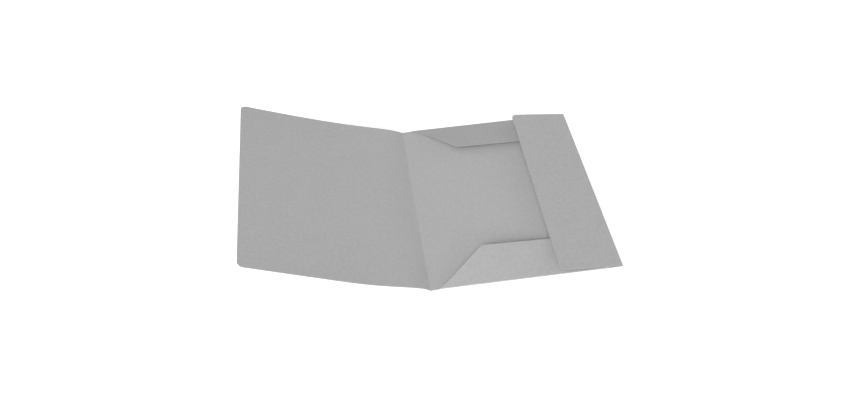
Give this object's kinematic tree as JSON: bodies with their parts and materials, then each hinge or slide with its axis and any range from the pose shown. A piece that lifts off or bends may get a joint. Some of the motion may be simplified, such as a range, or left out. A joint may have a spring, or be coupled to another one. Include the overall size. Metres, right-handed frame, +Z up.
{
  "type": "three-flap folder",
  "caption": "Creased card document folder lying open: bowed cover turned back from the spine, slant-ended flaps and a long side flap folded in over a flat back panel to hold loose sheets.",
  "frame": {"origin": "centre of the back panel's underside, on the surface that the folder lies on", "axes": "+X from the spine to the side fold, +Y from the bottom fold to the top fold, +Z up from the table"},
  "size_m": [0.4843, 0.3316, 0.0822],
  "materials": {
    "card": "matte",
    "creased_card": "matte"
  },
  "bodies": {
    "back": {"back_panel": "card", "spine_crease": "creased_card", "top_flap_crease": "creased_card", "bottom_flap_crease": "creased_card", "side_flap_crease": "creased_card"},
    "cover": {"front_cover": "card"},
    "top": {"top_flap": "card"},
    "bottom": {"bottom_flap": "card"},
    "side": {"side_flap": "card"}
  },
  "joints": [
    {"name": "spine_fold", "type": "hinge", "parent": "back", "child": "cover", "pos_m": [-0.125, 0, 0.00075], "axis": [0, 1, 0], "range_deg": [-15.5, 153], "deforming": ["spine_crease"]},
    {"name": "side_fold", "type": "hinge", "parent": "back", "child": "side", "pos_m": [0.125, 0, 0.00115], "axis": [0, 1, 0], "range_deg": [-4, 172], "deforming": ["side_flap_crease"]},
    {"name": "top_fold", "type": "hinge", "parent": "back", "child": "top", "pos_m": [0, 0.165, 0.00075], "axis": [-1, 0, 0], "range_deg": [-4, 172], "deforming": ["top_flap_crease"]},
    {"name": "bottom_fold", "type": "hinge", "parent": "back", "child": "bottom", "pos_m": [0, -0.165, 0.00075], "axis": [1, 0, 0], "range_deg": [-4, 172], "deforming": ["bottom_flap_crease"]}
  ],
  "couplings": [
    {"joint": "top_fold", "follows": "side_fold", "ratio": 1},
    {"joint": "bottom_fold", "follows": "side_fold", "ratio": 1}
  ]
}
